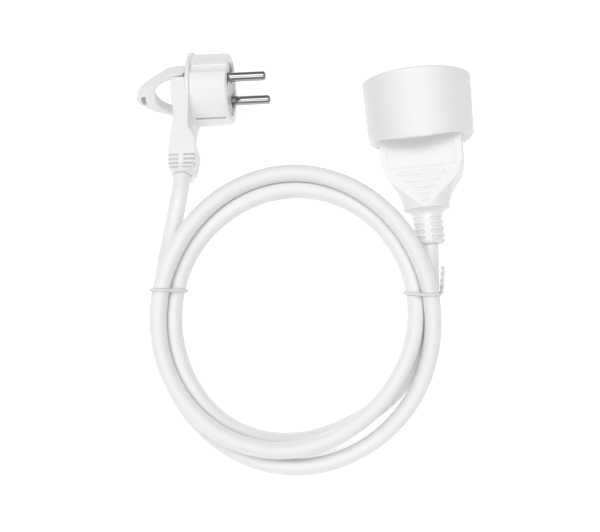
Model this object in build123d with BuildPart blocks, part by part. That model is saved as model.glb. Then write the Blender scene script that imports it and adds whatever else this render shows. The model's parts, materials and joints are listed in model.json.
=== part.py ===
from build123d import *
import math
import os

# Extension cord: an earthed plug with a pull ring, about 1.1 m of white cable wound into a
# tied coil, and an earthed coupler. Millimetres. The floor is Z = 0, the plug's pins point
# to +X, the coupler opens towards +Y, and the coil lies in front of both, towards -Y.

# ------------------------------------------------------------------ cable
CABLE_D = 8.4
CABLE_R = CABLE_D / 2
CORE_R = 1.3            # one insulated conductor
CORE_SPREAD = 1.5       # from the cable's axis to the middle of the two lower cores
CORE_LIFT = 0.9

# ------------------------------------------------------------------ plug
PLUG_ORIGIN = (-54.77, 31.11, 19.66)   # centre of the flange's front face
PLUG_YAW, PLUG_PITCH, PLUG_ROLL = 0.4, 6.0, 17.7
BODY_R, BODY_DEPTH, BODY_EDGE = 18.3, 18.3, 1.2
FLANGE_R, FLANGE_THICK, FLANGE_EDGE = 19.6, 2.2, 0.7
BLOCK_THICK = 7.3                      # behind the flange
BLOCK_BACK = -FLANGE_THICK - BLOCK_THICK
BOSS_R = 13.2                          # round upper half of the block, inside the pull ring
SHOULDER_R = 17.7                      # wide lower half of the block
SHOULDER_Y = 4.5
NECK_Y, ARM_END = 48.5, 53.2           # end of the arm's taper, end of the arm
RELIEF_HALF_W = 5.8
RELIEF_BACK, RELIEF_FRONT = -9.6, 3.6
RELIEF_Z = (RELIEF_BACK + RELIEF_FRONT) / 2
NECK_BACK, NECK_FRONT = -7.9, -0.2
RELIEF_GROOVES, RELIEF_FIRST, RELIEF_PITCH = 4, 44.4, 2.15
GROOVE_W, GROOVE_DEEP, GROOVE_WEB_X, GROOVE_WEB_Z = 1.0, 1.5, 2.4, 4.0
SHEATH_END = 40.4                      # where the sheath is stripped inside the arm

PIN_R, PIN_LENGTH, PIN_SPACING = 2.4, 19.0, 19.0
PIN_ROOT, PIN_ROOT_R = 3.0, 2.2        # the pin's shoulder and thinner root, inside the plug
DIMPLE_DEEP, DIMPLE_GAP = 2.4, 1.2     # ring-shaped recess round each pin, in the plug's face
COLLAR_R, COLLAR_THICK = 3.2, 1.4
BARREL_R, BARREL_LENGTH = 2.1, 5.5
INSERT_R, INSERT_BACK, INSERT_SET = 13.6, 3.0, 0.9
GUIDE_W, GUIDE_DEEP = 5.2, 1.5
EARTH_SLOT_W = 1.5                     # slot in the side, over an earth strip
EARTH_SLOT_START, EARTH_SLOT_END = 1.1, 16.6
STRIP_W, STRIP_THICK, STRIP_IN = 7.2, 0.8, 14.7
STRIP_PLAY, STRIP_GAP = 0.1, 0.4       # beside a strip, and between a strip and the body's middle
EARTH_HOLE_Y, SLEEVE_R, SLEEVE_BORE = -9.0, 3.0, 2.5
EARTH_HOLE_R, EARTH_HOLE_DEEP = 4.4, 3.0

# ------------------------------------------------------------------ pull ring
HINGE_Y, HINGE_Z = 0.7, -5.8           # the hinge's axis runs along the pins' line
RING_OUT, RING_IN = 17.6, 13.6
RING_THICK, RING_EDGE = 6.4, 1.1
RING_LEG = 3.5                         # straight part of each leg
RING_SWING = 4.5                       # how far the bow leans to the arm at rest, degrees
RING_BOW = ((15.6, 8.5), (9.6, 17.6), (5.4, 22.0))     # half of the pointed outline
RING_REACH, RING_IN_REACH = 25.0, 11.7
RING_SLOT_HALF, RING_SLOT_OUT, RING_SLOT_IN = 3.4, 2.5, 4.7
TRUNNION_R, TRUNNION_LENGTH, TRUNNION_PLAY = 1.3, 2.0, 0.06

# ------------------------------------------------------------------ coupler
COUPLER_ORIGIN = (58.97, 5.07, 26.92)  # on the axis, where the neck meets the round head
COUPLER_YAW, COUPLER_PITCH, COUPLER_ROLL = 94.5, 6.8, 12.0
HEAD_BACK_R, HEAD_FRONT_R, HEAD_DEPTH = 26.5, 27.2, 28.2
HEAD_SIDE_SKIRT, HEAD_TOP_SKIRT = 2.4, 6.6   # how far the hollow back reaches behind the origin
BACK_CUT_HALF, BACK_CUT_DEEP = 30.0, 9.0     # the cut that hollows it, a little past the head
HEAD_BACK_EDGE, HEAD_FRONT_EDGE = 1.0, 1.2
POCKET_R = 24.4                        # where the socket insert sits
NECK_HALF_W, NECK_HALF_D = 20.4, 11.6
NECK_END, NECK_END_R = 38.2, 11.1
COUPLER_RELIEF_R, COUPLER_EXIT = 7.7, 55.4
COUPLER_GROOVES, COUPLER_FIRST, COUPLER_PITCH_MM = 4, 43.2, 3.2
COUPLER_GROOVE_W, COUPLER_GROOVE_DEEP, COUPLER_WEB = 1.5, 1.0, 3.4
COUPLER_GROOVE_REACH = 14.0            # length of each slot, past the side of the relief
COUPLER_SHEATH_END = 39.0
PANEL_W, PANEL_H, PANEL_AT, PANEL_LINE, PANEL_DEEP = 34.0, 11.0, 12.8, 0.5, 0.35
GRIP_WIDTHS = (22.5, 17.5, 11.0, 6.2, 3.9)
GRIP_FIRST, GRIP_PITCH, GRIP_H, GRIP_PROUD = 21.0, 3.25, 1.7, 0.35

WELL_R, WELL_DEPTH, WELL_RIM = 19.7, 17.5, 1.0
FLOOR_THICK = 2.5
KEY_W, KEY_TALL = 4.6, 2.2             # guide ribs of the socket well
CONTACT_HOLE_R = 2.75
CONTACT_R, CONTACT_BORE, CONTACT_LENGTH, CONTACT_SLIT = 3.3, 2.45, 13.0, 0.8
BLOCK_W, BLOCK_D, BLOCK_DROP = 28.0, 11.0, 14.0
CLIP_W, CLIP_THICK, CLIP_OUT, CLIP_TALL = 6.0, 0.8, 20.0, 15.5
CLIP_WINDOW_W = 6.8

# ------------------------------------------------------------------ leads, coil and ties
PLUG_LEAD_TURN = 56.4                  # first bend, on the arm's axis
PLUG_LEAD = ((-61.4, -37.2, 37.0), (-64.8, -53.0, 33.1), (-67.9, -68.7, 29.6))
COUPLER_LEAD_TURN = 60.0
COUPLER_LEAD = ((63.2, -78.7, 15.3),)
COIL_CENTRE = (-3.91, -88.01, 23.6)
COIL_TILT_X, COIL_TILT_Y = 12.2, 5.1   # back edge up, left edge up, degrees
COIL_X_RADIUS, COIL_Y_RADIUS, COIL_SECTION_R = 62.8, 66.5, 8.4
TIE_R, TIE_LOOP_R = 0.75, 8.9
TIE_ANGLES = (166.0, 11.0)
TIE_TAIL = 13.0


def heading(yaw, pitch):
    """Unit vector at a yaw about Z and a pitch above the floor, in degrees."""
    y, p = math.radians(yaw), math.radians(pitch)
    return Vector(math.cos(p) * math.cos(y), math.cos(p) * math.sin(y), math.sin(p))


def polar(radius, degrees):
    """A point of a plane at a radius and an angle."""
    return radius * math.cos(math.radians(degrees)), radius * math.sin(math.radians(degrees))


def plug_frame():
    """Plug plane: x along the two pins' line, y along the arm, z towards the pins."""
    pins = heading(PLUG_YAW, PLUG_PITCH)
    up = heading(PLUG_YAW, PLUG_PITCH + 90)
    side = heading(PLUG_YAW + 90, 0)
    roll = math.radians(PLUG_ROLL)
    return Plane(PLUG_ORIGIN, x_dir=up * math.cos(roll) + side * math.sin(roll), z_dir=pins)


def coupler_frame():
    """Coupler plane: x along the two contacts' line, y up, z out of the open end."""
    side = heading(COUPLER_YAW + 90, 0)
    up = heading(COUPLER_YAW, COUPLER_PITCH + 90)
    roll = math.radians(COUPLER_ROLL)
    return Plane(COUPLER_ORIGIN, x_dir=side * math.cos(roll) - up * math.sin(roll),
                 z_dir=heading(COUPLER_YAW, COUPLER_PITCH))


def coil_frame():
    """Coil plane: x to the right, y to the back, z up from the floor, slightly tilted."""
    normal = Vector(math.tan(math.radians(COIL_TILT_Y)), -math.tan(math.radians(COIL_TILT_X)), 1)
    return Plane(COIL_CENTRE, x_dir=Vector(0, 1, 0).cross(normal), z_dir=normal)


def place(plane, point):
    """A point given in a plane's own x, y and z, in the row frame."""
    return plane.from_local_coords(Vector(*point))


def turned(plane, origin, x_dir, z_dir):
    """A plane at a point of another plane, with axes given in that plane."""
    tip = plane.origin
    return Plane(place(plane, origin), x_dir=place(plane, x_dir) - tip, z_dir=place(plane, z_dir) - tip)


def bend_radii(points, least):
    """The arc at each corner: 0.45 of its shorter run over the tangent of half the turn."""
    radii = []
    for before, here, after in zip(points, points[1:], points[2:]):
        first, second = Vector(*here) - Vector(*before), Vector(*after) - Vector(*here)
        turn = math.radians(first.get_angle(second))
        radii.append(0.45 * min(first.length, second.length) / math.tan(turn / 2))
    assert min(radii) >= least, radii
    return radii


def finish(part, name, colour):
    """Label a finished piece and write it."""
    part.part.label = name
    part.part.color = Color(*colour)
    export_step(part.part, f"parts/{name}.step")


WHITE, IVORY, NICKEL, BRASS = (0.93, 0.93, 0.92), (0.88, 0.88, 0.86), (0.75, 0.75, 0.77), (0.75, 0.6, 0.3)
BROWN, BLUE, GREEN = (0.35, 0.2, 0.1), (0.1, 0.3, 0.7), (0.3, 0.6, 0.2)

os.makedirs("parts", exist_ok=True)
plug = plug_frame()
coupler = coupler_frame()
coil = coil_frame()
plug_side = turned(plug, (0, 0, 0), (0, 1, 0), (1, 0, 0))        # x along the arm, y to the pins
face_z = BODY_DEPTH - INSERT_SET


# ================================================================== plug's inner pieces
def pin(x, name):
    """A round pin with a root in the carrier, a shoulder and a crimp barrel for its conductor."""
    barrel_end = PIN_ROOT - COLLAR_THICK - BARREL_LENGTH
    with BuildPart() as piece:
        with BuildSketch(plug.offset(face_z - DIMPLE_DEEP)):
            with Locations((x, 0)):
                Circle(PIN_R)
        extrude(amount=BODY_DEPTH + PIN_LENGTH - face_z + DIMPLE_DEEP)
        tip = piece.faces().sort_by(Axis(plug.origin, plug.z_dir))[-1]
        fillet(tip.edges(), 1.5)
        with BuildSketch(plug.offset(PIN_ROOT)):
            with Locations((x, 0)):
                Circle(PIN_ROOT_R)
        extrude(amount=face_z - DIMPLE_DEEP - PIN_ROOT)
        with BuildSketch(plug.offset(PIN_ROOT)):
            with Locations((x, 0)):
                Circle(COLLAR_R)
        extrude(amount=-COLLAR_THICK)
        with BuildSketch(plug.offset(barrel_end)):
            with Locations((x, 0)):
                Circle(BARREL_R)
                Circle(CORE_R, mode=Mode.SUBTRACT)
        extrude(amount=BARREL_LENGTH)
    finish(piece, name, NICKEL)


def core(points, radii, name, colour):
    """An insulated conductor along straight runs and small arcs."""
    with BuildPart() as piece:
        with BuildLine() as route:
            FilletPolyline(*points, radius=radii)
        with BuildSketch(Plane(route.line @ 0, z_dir=route.line % 0)):
            Circle(CORE_R)
        sweep()
    finish(piece, name, colour)
    return piece


half_space = PIN_SPACING / 2
barrel_z = PIN_ROOT - COLLAR_THICK - BARREL_LENGTH
core_bed = BLOCK_BACK + 2.9
pin(half_space, "plug_live_pin")
pin(-half_space, "plug_neutral_pin")

plug_cores = []
for side, name, colour in ((1, "plug_live_core", BROWN), (-1, "plug_neutral_core", BLUE)):
    stops = [(side * CORE_SPREAD, SHEATH_END - 0.5, RELIEF_Z - CORE_LIFT), (side * CORE_SPREAD, 30, RELIEF_Z - 2.4),
             (side * half_space, 9, core_bed), (side * half_space, 0, core_bed),
             (side * half_space, 0, PIN_ROOT - COLLAR_THICK)]
    plug_cores.append(core([place(plug, s) for s in stops], [6.0, 6.0, 2.2], name, colour))
earth_stops = [(0, SHEATH_END - 0.5, RELIEF_Z + 1.75), (0, 14, core_bed), (0, 5, core_bed),
               (0, 5, PIN_ROOT - COLLAR_THICK)]
plug_cores.append(core([place(plug, s) for s in earth_stops], [20.0, 2.2], "plug_earth_core", GREEN))

with BuildPart() as plug_earth_strip:
    # cross bar behind the insert, two side strips and a crimp barrel
    with BuildSketch(plug.offset(INSERT_BACK)):
        Rectangle(STRIP_W, 2 * (STRIP_IN + STRIP_THICK))
    extrude(amount=-COLLAR_THICK)
    with BuildSketch(plug.offset(INSERT_BACK)):
        with Locations((0, STRIP_IN + STRIP_THICK / 2), (0, -STRIP_IN - STRIP_THICK / 2)):
            Rectangle(STRIP_W, STRIP_THICK)
    extrude(amount=face_z - INSERT_BACK)
    with BuildSketch(plug.offset(barrel_z)):
        with Locations((0, 5)):
            Circle(BARREL_R)
            Circle(CORE_R, mode=Mode.SUBTRACT)
    extrude(amount=BARREL_LENGTH)
finish(plug_earth_strip, "plug_earth_strip", NICKEL)

with BuildPart() as plug_earth_sleeve:
    # spring sleeve for an earth pin that stands in the wall socket
    with BuildSketch(plug.offset(INSERT_BACK)):
        with Locations((0, EARTH_HOLE_Y)):
            Circle(SLEEVE_R)
            Circle(SLEEVE_BORE, mode=Mode.SUBTRACT)
    extrude(amount=face_z - INSERT_BACK - EARTH_HOLE_DEEP)
finish(plug_earth_sleeve, "plug_earth_sleeve", BRASS)

with BuildPart() as plug_insert:
    # pin carrier, seen as the plug's face
    with BuildSketch(plug.offset(INSERT_BACK)):
        Circle(INSERT_R)
        with Locations((half_space, 0), (-half_space, 0)):
            Circle(PIN_ROOT_R, mode=Mode.SUBTRACT)
        with Locations((0, EARTH_HOLE_Y)):
            Circle(SLEEVE_R, mode=Mode.SUBTRACT)
    extrude(amount=face_z - INSERT_BACK)
    with BuildSketch(plug.offset(face_z)):
        with Locations((half_space, 0), (-half_space, 0)):
            Circle(PIN_R + DIMPLE_GAP)
    extrude(amount=-DIMPLE_DEEP, mode=Mode.SUBTRACT)
    with BuildSketch(plug.offset(face_z)):
        with Locations((0, EARTH_HOLE_Y)):
            Circle(EARTH_HOLE_R)
    extrude(amount=-EARTH_HOLE_DEEP, mode=Mode.SUBTRACT)
finish(plug_insert, "plug_insert", IVORY)


# ================================================================== plug's overmould
def taper_touch():
    """The angle where the arm's straight taper leaves the round shoulder."""
    far = math.hypot(RELIEF_HALF_W, NECK_Y)
    return math.degrees(math.atan2(NECK_Y, RELIEF_HALF_W) - math.acos(SHOULDER_R / far))


def arm_half_width(along):
    """Half of the arm's width at a distance along it."""
    return RELIEF_HALF_W + max(0, NECK_Y - along) * math.tan(math.radians(taper_touch()))


def arm_outline():
    """Half of the arm and block seen along the pins: shoulder arc, taper, straight end."""
    touch = taper_touch()
    low = math.degrees(math.asin(SHOULDER_Y / SHOULDER_R))
    start, mid, end = polar(SHOULDER_R, low), polar(SHOULDER_R, (touch + low) / 2), polar(SHOULDER_R, touch)
    ThreePointArc(start, mid, end)
    Polyline(end, (RELIEF_HALF_W, NECK_Y), (RELIEF_HALF_W, ARM_END), (0, ARM_END), (0, SHOULDER_Y), start)


with BuildPart() as plug_arm:
    # lower block, arm and strain relief: the plan seen along the pins, cut to the side profile
    with BuildSketch(plug.offset(BLOCK_BACK - 1)):
        with BuildLine():
            arm_outline()
        make_face()
        mirror(about=Plane.YZ)
    extrude(amount=RELIEF_FRONT - BLOCK_BACK + 2)
    with BuildSketch(plug_side):
        with BuildLine():
            Polyline((12, BLOCK_BACK), (0, BLOCK_BACK), (0, NECK_FRONT), (28.5, NECK_FRONT))
            Spline((28.5, NECK_FRONT), (33.4, 2.0), (38, RELIEF_FRONT), tangents=((1, 0.1), (1, 0)))
            Polyline((38, RELIEF_FRONT), (48.6, RELIEF_FRONT))
            ThreePointArc((48.6, RELIEF_FRONT), (50.7, RELIEF_FRONT - 0.9), (ARM_END, RELIEF_FRONT - 3))
            Polyline((ARM_END, RELIEF_FRONT - 3), (ARM_END, RELIEF_BACK + 3))
            ThreePointArc((ARM_END, RELIEF_BACK + 3), (50.7, RELIEF_BACK + 0.9), (48.6, RELIEF_BACK))
            Polyline((48.6, RELIEF_BACK), (42, RELIEF_BACK))
            Spline((42, RELIEF_BACK), (36, RELIEF_BACK + 0.4), (28, NECK_BACK - 0.1), (20, NECK_BACK),
                   (12, BLOCK_BACK), tangents=((-1, 0), (-1, 0)))
        make_face()
    extrude(amount=SHOULDER_R + 2, both=True, mode=Mode.INTERSECT)

with BuildPart() as plug_body:
    # flange, round body, the block's round upper half and the arm
    with BuildSketch(plug.offset(-FLANGE_THICK)):
        Circle(FLANGE_R)
    extrude(amount=FLANGE_THICK)
    fillet(plug_body.edges(), FLANGE_EDGE)
    with BuildSketch(plug.offset(-1)):
        Circle(BODY_R)
    extrude(amount=BODY_DEPTH + 1)
    fillet(plug_body.faces().sort_by(Axis(plug.origin, plug.z_dir))[-1].edges(), BODY_EDGE)
    with BuildSketch(plug.offset(BLOCK_BACK)):
        Circle(BOSS_R)
    extrude(amount=BLOCK_THICK + 1)
    add(plug_arm.part)
    # guide grooves, earth slots and the pockets of the earth strips
    with BuildSketch(plug):
        with Locations((BODY_R, 0), (-BODY_R, 0)):
            Rectangle(2 * GUIDE_DEEP, GUIDE_W)
    extrude(amount=BODY_DEPTH, mode=Mode.SUBTRACT)
    with BuildSketch(plug.offset(EARTH_SLOT_START)):
        Rectangle(EARTH_SLOT_W, 2 * BODY_R + 2)
        Rectangle(EARTH_SLOT_W, 2 * STRIP_IN, mode=Mode.SUBTRACT)
    extrude(amount=EARTH_SLOT_END - EARTH_SLOT_START, mode=Mode.SUBTRACT)
    with BuildSketch(plug.offset(INSERT_BACK)):
        Rectangle(STRIP_W + 2 * STRIP_PLAY, 2 * (STRIP_IN + STRIP_THICK))
        Rectangle(STRIP_W + 2 * STRIP_PLAY, 2 * (STRIP_IN - STRIP_GAP), mode=Mode.SUBTRACT)
    extrude(amount=BODY_DEPTH, mode=Mode.SUBTRACT)
    # grooves of the strain relief
    for row in range(RELIEF_GROOVES):
        along = RELIEF_FIRST + row * RELIEF_PITCH
        half_w = arm_half_width(along)
        spot = turned(plug, (0, along, RELIEF_Z), (1, 0, 0), (0, 1, 0))
        with BuildSketch(spot):
            Rectangle(2 * half_w + 2, RELIEF_FRONT - RELIEF_BACK + 2)
            Rectangle(2 * (half_w - GROOVE_DEEP), RELIEF_FRONT - RELIEF_BACK - 2 * GROOVE_DEEP,
                      mode=Mode.SUBTRACT)
            Rectangle(2 * half_w + 2, GROOVE_WEB_X, mode=Mode.SUBTRACT)
            Rectangle(GROOVE_WEB_Z, RELIEF_FRONT - RELIEF_BACK + 2, mode=Mode.SUBTRACT)
        extrude(amount=GROOVE_W / 2, both=True, mode=Mode.SUBTRACT)
    # hollow for the pin carrier, the shoulders, the barrels and the earth strip's cross bar
    with BuildSketch(plug.offset(INSERT_BACK)):
        Circle(INSERT_R)
    extrude(amount=BODY_DEPTH, mode=Mode.SUBTRACT)
    with BuildSketch(plug.offset(INSERT_BACK)):
        with Locations((half_space, 0), (-half_space, 0)):
            Circle(COLLAR_R)
        Rectangle(STRIP_W, 2 * (STRIP_IN + STRIP_THICK))
    extrude(amount=-COLLAR_THICK, mode=Mode.SUBTRACT)
    with BuildSketch(plug.offset(barrel_z)):
        with Locations((half_space, 0), (-half_space, 0), (0, 5)):
            Circle(BARREL_R)
    extrude(amount=BARREL_LENGTH, mode=Mode.SUBTRACT)
    # holes of the pull ring's hinge
    for side in (1, -1):
        with BuildSketch(turned(plug, (side * (RING_IN + 0.5), HINGE_Y, HINGE_Z), (0, 1, 0), (-side, 0, 0))):
            Circle(TRUNNION_R + TRUNNION_PLAY)
        extrude(amount=TRUNNION_LENGTH + 0.8, mode=Mode.SUBTRACT)
    # cable and conductors
    with BuildSketch(turned(plug, (0, SHEATH_END, RELIEF_Z), (1, 0, 0), (0, 1, 0))):
        Circle(CABLE_R)
    extrude(amount=ARM_END, mode=Mode.SUBTRACT)
    for wire in plug_cores:
        add(wire.part, mode=Mode.SUBTRACT)
finish(plug_body, "plug_body", WHITE)


# ================================================================== pull ring
def bow_outline():
    """Outside of the bow: two straight legs and a pointed curve, in x and reach."""
    right = [(RING_OUT, RING_LEG), *RING_BOW]
    left = [(-x, y) for x, y in reversed(right)]
    Spline(*right, (0, RING_REACH), *left, tangents=((0, 1), (0, -1)))
    Polyline(left[-1], (-RING_OUT, 0), (RING_OUT, 0), right[0])


def hole_outline():
    """Inside of the bow: two straight legs and half an ellipse."""
    Line((RING_IN, 0), (RING_IN, RING_LEG))
    EllipticalCenterArc((0, RING_LEG), RING_IN, RING_IN_REACH, 0, arc_size=180)
    Line((-RING_IN, RING_LEG), (-RING_IN, 0))
    Line((-RING_IN, 0), (RING_IN, 0))


swing = math.radians(RING_SWING)
ring_plane = turned(plug, (0, HINGE_Y, HINGE_Z), (1, 0, 0), (0, math.cos(swing), math.sin(swing)))
with BuildPart() as pull_ring:
    with BuildSketch(ring_plane):
        with BuildLine():
            bow_outline()
        make_face()
        with BuildLine():
            hole_outline()
        make_face(mode=Mode.SUBTRACT)
    extrude(amount=RING_THICK / 2, both=True)
    flat = pull_ring.faces().filter_by(Axis(ring_plane.origin, ring_plane.z_dir))
    fillet(flat.edges().filter_by(lambda e: (e @ 0.5 - ring_plane.origin).dot(ring_plane.y_dir) > 0.5), RING_EDGE)
    tip = RING_REACH
    with BuildSketch(ring_plane):
        with BuildLine():
            ThreePointArc((-RING_SLOT_HALF, tip - RING_SLOT_OUT - 0.7), (0, tip - RING_SLOT_OUT),
                          (RING_SLOT_HALF, tip - RING_SLOT_OUT - 0.7))
            Line((RING_SLOT_HALF, tip - RING_SLOT_OUT - 0.7), (RING_SLOT_HALF, tip - RING_SLOT_IN - 0.7))
            ThreePointArc((RING_SLOT_HALF, tip - RING_SLOT_IN - 0.7), (0, tip - RING_SLOT_IN),
                          (-RING_SLOT_HALF, tip - RING_SLOT_IN - 0.7))
            Line((-RING_SLOT_HALF, tip - RING_SLOT_IN - 0.7), (-RING_SLOT_HALF, tip - RING_SLOT_OUT - 0.7))
        make_face()
    extrude(amount=RING_THICK, both=True, mode=Mode.SUBTRACT)
    for side in (1, -1):
        with BuildSketch(turned(plug, (side * RING_OUT, HINGE_Y, HINGE_Z), (0, 1, 0), (-side, 0, 0))):
            Circle(RING_THICK / 2)
        extrude(amount=RING_OUT - RING_IN)
        with BuildSketch(turned(plug, (side * RING_OUT, HINGE_Y, HINGE_Z), (0, 1, 0), (-side, 0, 0))):
            Circle(TRUNNION_R)
        extrude(amount=RING_OUT - RING_IN + TRUNNION_LENGTH)
finish(pull_ring, "pull_ring", WHITE)

# ================================================================== coupler's inner pieces
insert_top = HEAD_DEPTH - WELL_RIM
well_floor = insert_top - WELL_DEPTH
floor_back = well_floor - FLOOR_THICK
contact_end = floor_back - CONTACT_LENGTH
crimp_end = contact_end - BARREL_LENGTH


def contact(x, name):
    """A slit contact sleeve with a crimp barrel for its conductor."""
    with BuildPart() as piece:
        with BuildSketch(coupler.offset(floor_back)):
            with Locations((x, 0)):
                Circle(CONTACT_R)
                Circle(CONTACT_BORE, mode=Mode.SUBTRACT)
            with Locations((x, CONTACT_R)):
                Rectangle(CONTACT_SLIT, 2 * CONTACT_R, mode=Mode.SUBTRACT)
        extrude(amount=-CONTACT_LENGTH)
        with BuildSketch(coupler.offset(contact_end)):
            with Locations((x, 0)):
                Circle(CONTACT_R)
        extrude(amount=1)
        with BuildSketch(coupler.offset(contact_end)):
            with Locations((x, 0)):
                Circle(BARREL_R)
                Circle(CORE_R, mode=Mode.SUBTRACT)
        extrude(amount=-BARREL_LENGTH)
    finish(piece, name, BRASS)


contact(half_space, "coupler_live_contact")
contact(-half_space, "coupler_neutral_contact")

with BuildPart() as coupler_earth_clip:
    # bar under the well's floor, two clips and a rod down to the crimp barrel
    with BuildSketch(coupler.offset(floor_back)):
        Rectangle(CLIP_W, 2 * CLIP_OUT)
    extrude(amount=-CLIP_THICK)
    with BuildSketch(coupler.offset(floor_back - CLIP_THICK)):
        with Locations((0, CLIP_OUT - CLIP_THICK / 2), (0, -CLIP_OUT + CLIP_THICK / 2)):
            Rectangle(CLIP_W, CLIP_THICK)
    extrude(amount=CLIP_TALL)
    with BuildSketch(coupler.offset(floor_back - CLIP_THICK)):
        Circle(BARREL_R)
    extrude(amount=crimp_end - floor_back + CLIP_THICK)
    with BuildSketch(coupler.offset(crimp_end)):
        Circle(CORE_R)
    extrude(amount=BARREL_LENGTH, mode=Mode.SUBTRACT)
finish(coupler_earth_clip, "coupler_earth_clip", BRASS)

coupler_cores = []
for side, name, colour in ((1, "coupler_live_core", BROWN), (-1, "coupler_neutral_core", BLUE)):
    stops = [(side * CORE_SPREAD, -CORE_LIFT, 0.5 - COUPLER_SHEATH_END), (side * CORE_SPREAD, -1.3, -33),
             (side * half_space, 0, -18), (side * half_space, 0, contact_end)]
    coupler_cores.append(core([place(coupler, s) for s in stops], [6.0, 6.0], name, colour))
earth_stops = [(0, 1.75, 0.5 - COUPLER_SHEATH_END), (0, 0, -24), (0, 0, contact_end)]
coupler_cores.append(core([place(coupler, s) for s in earth_stops], [20.0], "coupler_earth_core", GREEN))

with BuildPart() as coupler_insert:
    # socket well with guide ribs, clip windows and the block that holds the contacts
    with BuildSketch(coupler.offset(floor_back)):
        Circle(POCKET_R)
    extrude(amount=insert_top - floor_back)
    with BuildSketch(coupler.offset(well_floor)):
        Circle(WELL_R)
        with Locations((WELL_R, 0), (-WELL_R, 0)):
            Rectangle(2 * KEY_TALL, KEY_W, mode=Mode.SUBTRACT)
    extrude(amount=WELL_DEPTH, mode=Mode.SUBTRACT)
    with BuildSketch(coupler.offset(floor_back)):
        Rectangle(BLOCK_W, BLOCK_D)
    extrude(amount=-BLOCK_DROP)
    with BuildSketch(coupler.offset(floor_back)):
        with Locations((0, CLIP_OUT - 0.4), (0, -CLIP_OUT + 0.4)):
            Rectangle(CLIP_WINDOW_W, 2.6)
    extrude(amount=CLIP_TALL + 1, mode=Mode.SUBTRACT)
    with BuildSketch(coupler.offset(well_floor)):
        with Locations((half_space, 0), (-half_space, 0)):
            Circle(CONTACT_HOLE_R)
    extrude(amount=-FLOOR_THICK, mode=Mode.SUBTRACT)
    with BuildSketch(coupler.offset(floor_back)):
        with Locations((half_space, 0), (-half_space, 0)):
            Circle(CONTACT_R)
    extrude(amount=-BLOCK_DROP, mode=Mode.SUBTRACT)
    with BuildSketch(coupler.offset(floor_back)):
        Circle(BARREL_R)
    extrude(amount=-BLOCK_DROP, mode=Mode.SUBTRACT)
    with BuildSketch(coupler.offset(floor_back)):
        Rectangle(CLIP_W, BLOCK_D)
    extrude(amount=-CLIP_THICK, mode=Mode.SUBTRACT)
finish(coupler_insert, "coupler_insert", IVORY)

# ================================================================== coupler's overmould
coupler_flat = turned(coupler, (0, 0, 0), (1, 0, 0), (0, -1, 0))       # its y points to the open end
coupler_side = turned(coupler, (0, 0, 0), (0, 1, 0), (1, 0, 0))        # so does this one's

with BuildPart() as coupler_head:
    # round head with a back that is hollowed between the top and the bottom
    inset = HEAD_FRONT_EDGE * (1 - math.sqrt(0.5))
    with BuildSketch(coupler_flat):
        with BuildLine():
            Polyline((0, -HEAD_TOP_SKIRT - 1), (HEAD_BACK_R, -HEAD_TOP_SKIRT - 1), (HEAD_BACK_R, 0),
                     (HEAD_FRONT_R, HEAD_DEPTH - HEAD_FRONT_EDGE))
            ThreePointArc((HEAD_FRONT_R, HEAD_DEPTH - HEAD_FRONT_EDGE), (HEAD_FRONT_R - inset, HEAD_DEPTH - inset),
                          (HEAD_FRONT_R - HEAD_FRONT_EDGE, HEAD_DEPTH))
            Polyline((HEAD_FRONT_R - HEAD_FRONT_EDGE, HEAD_DEPTH), (0, HEAD_DEPTH), (0, -HEAD_TOP_SKIRT - 1))
        make_face()
    revolve(axis=Axis(coupler.origin, coupler.z_dir))
    far_z = -HEAD_SIDE_SKIRT - (HEAD_TOP_SKIRT - HEAD_SIDE_SKIRT) * (BACK_CUT_HALF / HEAD_BACK_R) ** 2
    with BuildSketch(coupler_side):
        with BuildLine():
            ThreePointArc((-BACK_CUT_HALF, far_z), (0, -HEAD_SIDE_SKIRT), (BACK_CUT_HALF, far_z))
            Polyline((BACK_CUT_HALF, far_z), (BACK_CUT_HALF, far_z - BACK_CUT_DEEP),
                     (-BACK_CUT_HALF, far_z - BACK_CUT_DEEP), (-BACK_CUT_HALF, far_z))
        make_face()
    extrude(amount=HEAD_FRONT_R + 1, both=True, mode=Mode.SUBTRACT)
    fillet(coupler_head.faces().sort_by(Axis(coupler.origin, coupler.z_dir))[0].edges(), HEAD_BACK_EDGE)

with BuildPart() as coupler_slots:
    # slots of the strain relief, left and right of the web, down to a round core
    with BuildSketch(coupler_flat):
        for row in range(COUPLER_GROOVES):
            for side in (1, -1):
                at = (side * (COUPLER_WEB + COUPLER_GROOVE_REACH) / 2, -COUPLER_FIRST - row * COUPLER_PITCH_MM)
                with Locations(at):
                    SlotOverall(COUPLER_GROOVE_REACH, COUPLER_GROOVE_W)
    extrude(amount=COUPLER_RELIEF_R + 1, both=True)
    with BuildSketch(coupler.offset(-NECK_END)):
        Circle(COUPLER_RELIEF_R - COUPLER_GROOVE_DEEP)
    extrude(amount=-COUPLER_EXIT, mode=Mode.SUBTRACT)

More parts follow.
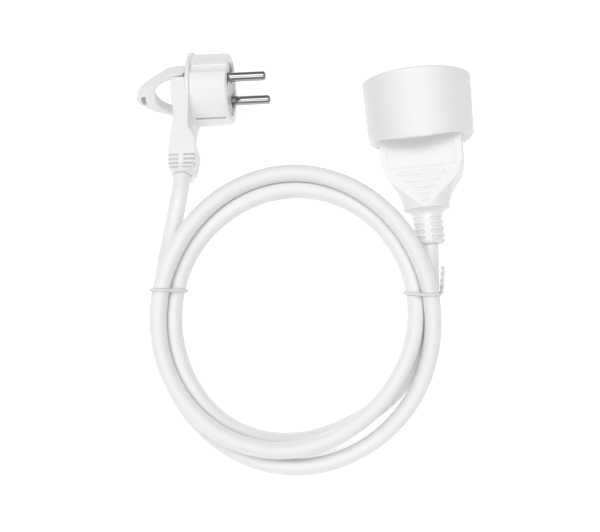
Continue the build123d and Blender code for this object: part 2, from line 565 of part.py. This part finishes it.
with BuildPart() as coupler_body:
    # neck: plan outline between two flats, cut to a cone
    with BuildSketch(coupler_flat):
        with BuildLine():
            Polyline((0, -NECK_END), (NECK_END_R, -NECK_END), (11.2, -36))
            Spline((11.2, -36), (12.1, -32), (14.1, -27.6), (18.2, -21.5), (19.7, -17), (20.1, -13),
                   tangents=((0.1, 1), (0, 1)))
            Polyline((20.1, -13), (NECK_HALF_W, 1), (0, 1), (0, -NECK_END))
        make_face()
        mirror(about=Plane.YZ)
    extrude(amount=NECK_HALF_D, both=True)
    with BuildSketch(coupler_flat):
        with BuildLine():
            Polyline((0, 1), (23.4, 1), (23.4, -20.8))
            Spline((23.4, -20.8), (17.1, -27.6), (13.9, -32), (12.4, -34.7), (11.5, -38))
            Polyline((11.5, -38), (NECK_END_R, -NECK_END), (0, -NECK_END), (0, 1))
        make_face()
    revolve(axis=Axis(coupler.origin, coupler.z_dir), mode=Mode.INTERSECT)
    # round strain relief
    with BuildSketch(coupler_flat):
        with BuildLine():
            Polyline((0, -NECK_END + 1), (NECK_END_R - 1, -NECK_END + 1), (NECK_END_R - 1, -NECK_END),
                     (8.2, -39.6), (7.3, -41), (COUPLER_RELIEF_R, -54), (6.6, -COUPLER_EXIT),
                     (0, -COUPLER_EXIT), (0, -NECK_END + 1))
        make_face()
    revolve(axis=Axis(coupler.origin, coupler.z_dir))
    add(coupler_slots.part, mode=Mode.SUBTRACT)
    add(coupler_head.part)
    # grip bars and label panel on both flats
    for side in (1, -1):
        face = turned(coupler, (0, side * NECK_HALF_D, 0), (-side, 0, 0), (0, side, 0))
        for row, width in enumerate(GRIP_WIDTHS):
            with BuildSketch(face):
                with Locations((0, -GRIP_FIRST - row * GRIP_PITCH)):
                    SlotOverall(width, GRIP_H)
            extrude(amount=GRIP_PROUD)
        with BuildSketch(face):
            with Locations((0, -PANEL_AT)):
                RectangleRounded(PANEL_W - 1, PANEL_H, 1)
                RectangleRounded(PANEL_W - 1 - 2 * PANEL_LINE, PANEL_H - 2 * PANEL_LINE, 0.8, mode=Mode.SUBTRACT)
        extrude(amount=-PANEL_DEEP, mode=Mode.SUBTRACT)
    # hollow for the insert, its block, the clip's bar, the barrels, the cable and the conductors
    with BuildSketch(coupler.offset(floor_back)):
        Circle(POCKET_R)
    extrude(amount=HEAD_DEPTH, mode=Mode.SUBTRACT)
    with BuildSketch(coupler.offset(floor_back)):
        Rectangle(BLOCK_W, BLOCK_D)
    extrude(amount=-BLOCK_DROP, mode=Mode.SUBTRACT)
    with BuildSketch(coupler.offset(floor_back)):
        Rectangle(CLIP_W, 2 * CLIP_OUT)
    extrude(amount=-CLIP_THICK, mode=Mode.SUBTRACT)
    with BuildSketch(coupler.offset(crimp_end)):
        with Locations((half_space, 0), (-half_space, 0), (0, 0)):
            Circle(BARREL_R)
    extrude(amount=BARREL_LENGTH + 2, mode=Mode.SUBTRACT)
    with BuildSketch(coupler.offset(-COUPLER_SHEATH_END)):
        Circle(CABLE_R)
    extrude(amount=-COUPLER_EXIT, mode=Mode.SUBTRACT)
    for wire in coupler_cores:
        add(wire.part, mode=Mode.SUBTRACT)
finish(coupler_body, "coupler_body", WHITE)


# ================================================================== cord
def tube(points, name):
    """A length of cable along straight runs and arcs."""
    radii = bend_radii(points, 5 * CABLE_D)
    with BuildPart() as piece:
        with BuildLine() as route:
            FilletPolyline(*points, radius=radii)
        with BuildSketch(Plane(route.line @ 0, z_dir=route.line % 0)):
            Circle(CABLE_R)
        sweep()
    finish(piece, name, WHITE)
    length = route.wires()[0].length
    ideal = math.pi * CABLE_R**2 * length
    print(f"{name}: arcs", [round(r, 1) for r in radii], f"length {length:.1f}",
          f"volume {piece.part.volume:.1f} of {ideal:.1f}")


plug_exit = [place(plug, (0, along, RELIEF_Z)) for along in (SHEATH_END, PLUG_LEAD_TURN)]
coupler_exit = [place(coupler, (0, 0, -along)) for along in (COUPLER_SHEATH_END, COUPLER_LEAD_TURN)]
tube([*plug_exit, *PLUG_LEAD], "cord_plug_lead")
tube([*coupler_exit, *COUPLER_LEAD], "cord_coupler_lead")

with BuildPart() as cord_coil:
    # outer shape of the wound turns
    with BuildLine(coil) as loop:
        EllipticalCenterArc((0, 0), COIL_X_RADIUS, COIL_Y_RADIUS, 0, arc_size=360)
    with BuildSketch(Plane(loop.line @ 0, z_dir=loop.line % 0)):
        Circle(COIL_SECTION_R)
    sweep()
finish(cord_coil, "cord_coil", WHITE)


def tie(degrees, name, tail):
    """A thin wire tie closed round the coil at an angle, with or without its twisted tail."""
    flat_angle = math.radians(degrees)
    at = (COIL_X_RADIUS * math.cos(flat_angle), COIL_Y_RADIUS * math.sin(flat_angle), 0)
    outward = (math.cos(flat_angle), math.sin(flat_angle), 0)
    section = turned(coil, at, (0, 0, 1), outward)
    with BuildPart() as piece:
        with BuildSketch(section):
            with Locations((TIE_LOOP_R, 0)):
                Circle(TIE_R)
        revolve(axis=Axis(section.origin, section.y_dir))
        if tail:
            root = section.from_local_coords(Vector(0, 0, TIE_LOOP_R))
            with BuildSketch(Plane(root, z_dir=coil.y_dir + coil.z_dir * 0.2)):
                Circle(TIE_R * 1.3)
            extrude(amount=TIE_TAIL)
    finish(piece, name, WHITE)


tie(TIE_ANGLES[0], "tie_left", False)
tie(TIE_ANGLES[1], "tie_right", True)
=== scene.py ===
"""Extension cord: the white plug with its pull ring, the tied coil of cable and the coupler.

Lengths are in metres, and MM turns the millimetres that the sizes are named in into metres.
"""
import json
import math

import bpy
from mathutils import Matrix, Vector


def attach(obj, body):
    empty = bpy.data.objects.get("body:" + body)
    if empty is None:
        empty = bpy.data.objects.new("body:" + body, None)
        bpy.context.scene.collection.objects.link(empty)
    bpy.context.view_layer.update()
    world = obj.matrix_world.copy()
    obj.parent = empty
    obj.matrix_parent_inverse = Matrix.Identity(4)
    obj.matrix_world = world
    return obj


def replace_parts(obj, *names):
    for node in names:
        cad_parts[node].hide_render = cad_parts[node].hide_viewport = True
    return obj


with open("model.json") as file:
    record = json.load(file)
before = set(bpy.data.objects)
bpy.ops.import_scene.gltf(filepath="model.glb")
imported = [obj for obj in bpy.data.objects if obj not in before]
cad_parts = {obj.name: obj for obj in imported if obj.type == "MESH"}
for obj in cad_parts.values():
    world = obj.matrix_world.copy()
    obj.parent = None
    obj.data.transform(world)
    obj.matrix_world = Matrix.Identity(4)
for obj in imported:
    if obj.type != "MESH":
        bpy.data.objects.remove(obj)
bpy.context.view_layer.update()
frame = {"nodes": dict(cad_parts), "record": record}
nodes = frame["nodes"]

MM = 0.001
BODY, RING = "cord_set", "ring"

CABLE_D = 8.4 * MM
# where the pieces lie in the frame: origin in millimetres, then yaw, pitch and roll in degrees
PLUG_ORIGIN, PLUG_TURNS = (-54.77, 31.11, 19.66), (0.4, 6.0, 17.7)
COUPLER_ORIGIN, COUPLER_TURNS = (58.97, 5.07, 26.92), (94.5, 6.8, 12.0)
COIL_CENTRE = (-3.91, -88.01, 23.6)
COIL_TILT_X, COIL_TILT_Y = 12.2, 5.1   # back edge up, left edge up, degrees


def heading(yaw, pitch):
    """Unit vector at a yaw about Z and a pitch above the floor, in degrees."""
    y, p = math.radians(yaw), math.radians(pitch)
    return Vector((math.cos(p) * math.cos(y), math.cos(p) * math.sin(y), math.sin(p)))


class Plane:
    """A plane of the object: a point in it and three axes."""

    def __init__(self, origin, x_axis, z_axis):
        self.origin = Vector(origin) * MM
        self.z = z_axis.normalized()
        self.x = (x_axis - self.z * x_axis.dot(self.z)).normalized()
        self.y = self.z.cross(self.x)

    def at(self, x, y, z):
        """A point of the plane's own x, y and z, given in millimetres."""
        return self.origin + (self.x * x + self.y * y + self.z * z) * MM


def rolled(origin, yaw, pitch, roll, x_starts):
    """A plane with its z axis at a yaw and a pitch, and its x axis rolled from "up" or "side"."""
    up, side = heading(yaw, pitch + 90), heading(yaw + 90, 0)
    first, second = (up, side) if x_starts == "up" else (side, -up)
    turn = math.radians(roll)
    return Plane(origin, first * math.cos(turn) + second * math.sin(turn), heading(yaw, pitch))


plug = rolled(PLUG_ORIGIN, *PLUG_TURNS, "up")
coupler = rolled(COUPLER_ORIGIN, *COUPLER_TURNS, "side")
lean = Vector((math.tan(math.radians(COIL_TILT_Y)), -math.tan(math.radians(COIL_TILT_X)), 1))
coil = Plane(COIL_CENTRE, Vector((0, 1, 0)).cross(lean), lean)


# ---------------------------------------------------------------- camera
CAMERA_TARGET, CAMERA_TILT, CAMERA_DISTANCE = (-1.51, -58.71, 10), 12, 0.55
LENS, SENSOR = 65.4, 36


def camera():
    """A long lens from above and a little in front, the coil seen square on."""
    tilt = math.radians(CAMERA_TILT)
    away = Vector((0, -math.sin(tilt), math.cos(tilt)))
    data = bpy.data.cameras.new("camera")
    data.lens = LENS
    data.sensor_width = SENSOR
    obj = bpy.data.objects.new("camera", data)
    obj.location = Vector(CAMERA_TARGET) * MM + away * CAMERA_DISTANCE
    obj.rotation_euler = away.to_track_quat("Z", "Y").to_euler()
    bpy.context.scene.collection.objects.link(obj)
    bpy.context.scene.camera = obj


camera()

# ---------------------------------------------------------------- cable
RADIUS_EVERY, STEP = 30, 15            # degrees between given radii, and between the coil's points
SHEATH_END, PLUG_LEAD_TURN, RELIEF_Z = 40.4, 56.4, -3.0            # along the plug's arm
COUPLER_SHEATH_END, COUPLER_LEAD_TURN = 39, 60                      # behind the coupler's head
PLUG_LEAD = ((-61.4, -37.2, 37.0), (-64.8, -53.0, 33.1), (-67.9, -68.7, 29.6))
COUPLER_LEAD = ((63.2, -78.7, 15.3),)
# the coil from its left side on, counter-clockwise, every 30 degrees: radius and height
TURNS = (
    (66.0, -4.2), (66.9, -4.2), (70.2, -4.1), (72.9, -3.6), (72.1, -1.6), (69.3, 3.8), (67.2, 4.4),
    (67.2, 4.4), (69.3, 3.2), (71.1, 1.2), (69.5, 1.8), (67.0, 6.2),
    (65.9, 4.6), (66.2, 4.8), (65.8, 4.4), (63.1, 4.2), (58.8, 4.2), (57.9, 3.2), (59.4, 0.4),
    (61.3, -1.8), (62.9, -2.2), (63.0, -1.2), (61.3, -0.4), (59.8, 0.0),
    (58.6, 0.2), (59.2, 0.3), (61.1, -3.0), (60.1, -5.2), (58.8, -4.6), (62.7, -4.3), (67.2, -4.3),
)


def between(values, place):
    """A smooth curve through evenly spaced values."""
    last = len(values) - 1
    first = min(int(place), last - 1)
    t = place - first
    a, b, c, d = (values[min(max(first + k, 0), last)] for k in (-1, 0, 1, 2))
    return b + 0.5 * t * (c - a + t * (2 * a - 5 * b + 4 * c - d + t * (3 * (b - c) + d - a)))


def coil_points():
    """The points of the wound turns."""
    outward = 2 / (1 + math.cos(math.radians(STEP)))
    radii, lifts = zip(*TURNS)
    points = []
    for step in range((len(TURNS) - 1) * RADIUS_EVERY // STEP + 1):
        angle = math.radians(180 + step * STEP)
        place = step * STEP / RADIUS_EVERY
        r = between(radii, place) * outward ** 0.5
        points.append(coil.at(r * math.cos(angle), r * math.sin(angle), between(lifts, place)))
    return points


def baked(obj):
    """A mesh of an object with its modifiers or bevel worked out."""
    return bpy.data.meshes.new_from_object(obj.evaluated_get(bpy.context.evaluated_depsgraph_get()))


def spline(name, points, radius, sides, closed=False, resolution=8):
    """A smooth tube through control points, as a mesh, and the points along its middle."""
    data = bpy.data.curves.new(name, "CURVE")
    data.dimensions = "3D"
    line = data.splines.new("NURBS")
    line.points.add(len(points) - 1)
    for point, place in zip(line.points, points):
        point.co = (*place, 1)
    line.order_u = 3
    line.use_endpoint_u = not closed
    line.use_cyclic_u = closed
    line.resolution_u = resolution
    curve = bpy.data.objects.new(name, data)
    bpy.context.scene.collection.objects.link(curve)
    meshes = []
    for depth in (0, radius):
        data.bevel_depth = depth
        data.bevel_resolution = sides // 2 - 1
        data.use_fill_caps = depth > 0 and not closed
        bpy.context.view_layer.update()
        meshes.append(baked(curve))
    bpy.data.objects.remove(curve)
    path = [v.co.copy() for v in meshes[0].vertices]
    meshes[1].name = name
    meshes[1].shade_smooth()
    obj = bpy.data.objects.new(name, meshes[1])
    bpy.context.scene.collection.objects.link(obj)
    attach(obj, BODY)
    return obj, path


def cable():
    """The whole cable as one spline, from inside the coupler to inside the plug's arm."""
    route = [coupler.at(0, 0, -COUPLER_SHEATH_END), coupler.at(0, 0, -COUPLER_LEAD_TURN)]
    route += [Vector(p) * MM for p in COUPLER_LEAD]
    route += reversed(coil_points())
    route += [Vector(p) * MM for p in reversed(PLUG_LEAD)]
    route += [plug.at(0, PLUG_LEAD_TURN, RELIEF_Z), plug.at(0, SHEATH_END, RELIEF_Z)]
    obj, path = spline("cable", route, CABLE_D / 2, 28)
    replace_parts(obj, "cord_plug_lead", "cord_coil", "cord_coupler_lead")
    coupler.at(0, 0, -55.4)
    return obj, path


cord, middle = cable()


# ---------------------------------------------------------------- materials
CLOUD_SCALE, GLOSS_SPREAD = 45, 0.12   # how coarse the unevenness is, and how strong in roughness


def material(name, colour, roughness, metal=0.0, grain=0.0, grain_scale=900.0, tint=0.02, soft=0.0):
    """Moulded plastic or metal: faintly uneven colour and roughness, and a fine grain."""
    made = bpy.data.materials.new(name)
    made.use_nodes = True
    tree = made.node_tree
    shader = tree.nodes["Principled BSDF"]
    shader.inputs["Metallic"].default_value = metal
    shader.inputs["Subsurface Weight"].default_value = soft
    shader.inputs["Subsurface Radius"].default_value = (0.0015, 0.0013, 0.0012)
    where = tree.nodes.new("ShaderNodeTexCoord")
    cloud = tree.nodes.new("ShaderNodeTexNoise")
    cloud.inputs["Scale"].default_value = CLOUD_SCALE
    cloud.inputs["Detail"].default_value = 3
    tree.links.new(where.outputs["Object"], cloud.inputs["Vector"])
    shade = tree.nodes.new("ShaderNodeMix")
    shade.data_type = "RGBA"
    shade.inputs["A"].default_value = (*(c * (1 - tint) for c in colour), 1)
    shade.inputs["B"].default_value = (*(min(1, c * (1 + tint)) for c in colour), 1)
    tree.links.new(cloud.outputs["Fac"], shade.inputs["Factor"])
    tree.links.new(shade.outputs["Result"], shader.inputs["Base Color"])
    gloss = tree.nodes.new("ShaderNodeMapRange")
    gloss.inputs["To Min"].default_value = roughness * (1 - GLOSS_SPREAD)
    gloss.inputs["To Max"].default_value = roughness * (1 + GLOSS_SPREAD)
    tree.links.new(cloud.outputs["Fac"], gloss.inputs["Value"])
    tree.links.new(gloss.outputs["Result"], shader.inputs["Roughness"])
    if grain:
        fine = tree.nodes.new("ShaderNodeTexNoise")
        fine.inputs["Scale"].default_value = grain_scale
        fine.inputs["Detail"].default_value = 4
        tree.links.new(where.outputs["Object"], fine.inputs["Vector"])
        bump = tree.nodes.new("ShaderNodeBump")
        bump.inputs["Strength"].default_value = grain
        bump.inputs["Distance"].default_value = 0.0001
        tree.links.new(fine.outputs["Fac"], bump.inputs["Height"])
        tree.links.new(bump.outputs["Normal"], shader.inputs["Normal"])
    return made


WHITE = (0.79, 0.79, 0.79)
paint = {
    "white_overmould": material("overmould", WHITE, 0.42, grain=0.10, soft=0.15),
    "white_cable": material("sheath", WHITE, 0.38, grain=0.06, grain_scale=500, soft=0.15),
    "white_ring": material("ring", (0.76, 0.76, 0.76), 0.34, grain=0.06, soft=0.1),
    # painted shade: the white insert is given a mid grey, darker than its plastic, standing in for
    # the little light that reaches the plug's face
    "white_insert": material("insert", (0.50, 0.50, 0.50), 0.30, grain=0.04),
    "white_tie": material("tie", (0.72, 0.72, 0.72), 0.5, grain=0.3, grain_scale=1500),
    # painted shade: the nickel's base colour is darker than bare nickel, standing in for the dark
    # reflections on the pins and the shade in the earth slot
    "nickel": material("nickel", (0.34, 0.34, 0.35), 0.08, metal=1.0, grain=0.02, grain_scale=300),
    "brass": material("brass", (0.72, 0.55, 0.27), 0.25, metal=1.0, grain=0.05),
    "brown_core": material("brown_core", (0.16, 0.07, 0.03), 0.4, grain=0.05),
    "blue_core": material("blue_core", (0.03, 0.10, 0.40), 0.4, grain=0.05),
    "green_core": material("green_core", (0.20, 0.42, 0.05), 0.4, grain=0.05),
}


def coat(obj, slot_name):
    """Give a piece one material."""
    obj.data.materials.clear()
    obj.data.materials.append(paint[slot_name])


for part in frame["record"]["subparts"]:
    coat(nodes[part["node"]], part["material_slot"])
coat(cord, "white_cable")


# ---------------------------------------------------------------- moulded pieces
def moulded(name, source, slot_name, body, voxel, passes, keep):
    """A moulded skin over a CAD node: the same shape with every edge softly rounded."""
    obj = bpy.data.objects.new(name, nodes[source].data.copy())
    bpy.context.scene.collection.objects.link(obj)
    skin = obj.modifiers.new("skin", "REMESH")
    skin.mode = "VOXEL"
    skin.voxel_size = voxel * MM
    round_off = obj.modifiers.new("round", "SMOOTH")
    round_off.factor = 0.5
    round_off.iterations = passes
    thin = obj.modifiers.new("thin", "DECIMATE")
    thin.ratio = keep
    bpy.context.view_layer.update()
    final = baked(obj)
    obj.modifiers.clear()
    obj.data = final
    final.shade_smooth()
    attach(obj, body)
    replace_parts(obj, source)
    coat(obj, slot_name)
    return obj


moulded("plug_skin", "plug_body", "white_overmould", BODY, 0.22, 2, 0.28)
moulded("coupler_skin", "coupler_body", "white_overmould", BODY, 0.22, 2, 0.17)
moulded("ring_skin", "pull_ring", "white_ring", RING, 0.2, 6, 0.5)


# ---------------------------------------------------------------- wire ties
TIE_R = 0.75 * MM
TAIL_R, TAIL_TWIST = 0.6 * MM, 0.62 * MM   # each end of the wire, and how far it stands off
TIE_POINTS, TAIL_POINTS = 48, 8            # round a tie, and for each turn of its tail


def wire(name, points, radius, closed):
    """A smooth round wire through points."""
    obj, _ = spline(name, points, radius, 10, closed, 4)
    coat(obj, "white_tie")
    return obj


def strands(across, side):
    """Where the cable crosses a line over the coil: distance along the coil's x, and height."""
    found = []
    offsets = [p - coil.origin for p in middle]
    local = [(p.dot(coil.x), p.dot(coil.y), p.dot(coil.z)) for p in offsets]
    for (x0, y0, z0), (x1, y1, z1) in zip(local, local[1:]):
        if (y0 - across) * (y1 - across) < 0 and side * x0 > 0:
            t = (across - y0) / (y1 - y0)
            found.append((x0 + t * (x1 - x0), z0 + t * (z1 - z0)))
    return found


def tie(node, across, side, slant):
    """A wire pulled tight round the turns, at a distance along the coil's y."""
    around = strands(across * MM, side)
    reach = CABLE_D / 2 + TIE_R
    points = []
    for k in range(TIE_POINTS):
        angle = math.tau * k / TIE_POINTS
        ux, uz = math.cos(angle), math.sin(angle)
        x, z = max(around, key=lambda c: c[0] * ux + c[1] * uz)
        wobble = slant * math.sin(angle) + 0.12 * math.sin(5 * angle + side)
        points.append(coil.at((x + reach * ux) / MM, across + wobble, (z + reach * uz) / MM))
    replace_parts(wire("wire_" + node, points, TIE_R, True), node)


def tail(name, start, end, turns):
    """The tie's two ends twisted round each other."""
    start, end = coil.at(*start), coil.at(*end)
    run = (end - start).normalized()
    side = run.cross(coil.z).normalized()
    up = run.cross(side)
    for strand in range(2):
        points = []
        for k in range(turns * TAIL_POINTS + 1):
            t = k / (turns * TAIL_POINTS)
            angle = math.tau * (turns * t + strand / 2)
            sway = (side * math.cos(angle) + up * math.sin(angle)) * TAIL_TWIST
            points.append(start.lerp(end, t) + sway)
        wire(f"{name}_{strand + 1}", points, TAIL_R, False)


tie("tie_left", 12.9, -1, 0.5)
tie("tie_right", 13.6, 1, -0.4)
tail("tie_tail", (72.6, 13.8, -2.0), (72.6, 26.9, 0.5), 2)


# ---------------------------------------------------------------- stage and light
def floor():
    """A plain white table top."""
    half = 3
    corners = [(-half, -half, 0), (half, -half, 0), (half, half, 0), (-half, half, 0)]
    mesh = bpy.data.meshes.new("floor")
    mesh.from_pydata(corners, [], [(0, 1, 2, 3)])
    obj = bpy.data.objects.new("floor", mesh)
    obj.location.z = -0.0002
    bpy.context.scene.collection.objects.link(obj)
    made = material("floor", (0.95, 0.95, 0.95), 0.9)
    shader = made.node_tree.nodes["Principled BSDF"]
    shader.inputs["Specular IOR Level"].default_value = 0.0
    shader.inputs["Emission Color"].default_value = (1, 1, 1, 1)
    shader.inputs["Emission Strength"].default_value = 0.35
    mesh.materials.append(made)


def lamp(name, place, width, depth, power):
    """A soft box that faces the middle of the object, with its width along X."""
    data = bpy.data.lights.new(name, "AREA")
    data.shape = "RECTANGLE"
    data.size = width
    data.size_y = depth
    data.energy = power
    obj = bpy.data.objects.new(name, data)
    obj.location = place
    towards = Vector((0, -0.05, 0.02)) - Vector(place)
    obj.rotation_euler = towards.to_track_quat("-Z", "Y").to_euler()
    bpy.context.scene.collection.objects.link(obj)


def sky(horizon, overhead):
    """White surroundings, dim at the horizon and brighter overhead."""
    world = bpy.data.worlds.new("surroundings")
    world.use_nodes = True
    tree = world.node_tree
    where = tree.nodes.new("ShaderNodeTexCoord")
    split = tree.nodes.new("ShaderNodeSeparateXYZ")
    ramp = tree.nodes.new("ShaderNodeMapRange")
    tree.links.new(where.outputs["Generated"], split.inputs["Vector"])
    tree.links.new(split.outputs["Z"], ramp.inputs["Value"])
    ramp.inputs["From Min"].default_value = 0.1
    ramp.inputs["From Max"].default_value = 0.8
    ramp.inputs["To Min"].default_value = horizon
    ramp.inputs["To Max"].default_value = overhead
    background = tree.nodes["Background"]
    background.inputs["Color"].default_value = (1, 1, 1, 1)
    tree.links.new(ramp.outputs["Result"], background.inputs["Strength"])
    bpy.context.scene.world = world


floor()
lamp("key", (-0.6, -0.1, 1.1), 1.2, 1.2, 3)
for name, y in (("front", -1.0), ("back", 0.2)):
    lamp(name, (0.0, y, 1.45), 1.8, 0.55, 8.8)
sky(0.15, 0.5)
bpy.context.scene.view_settings.view_transform = "Standard"
bpy.context.view_layer.update()
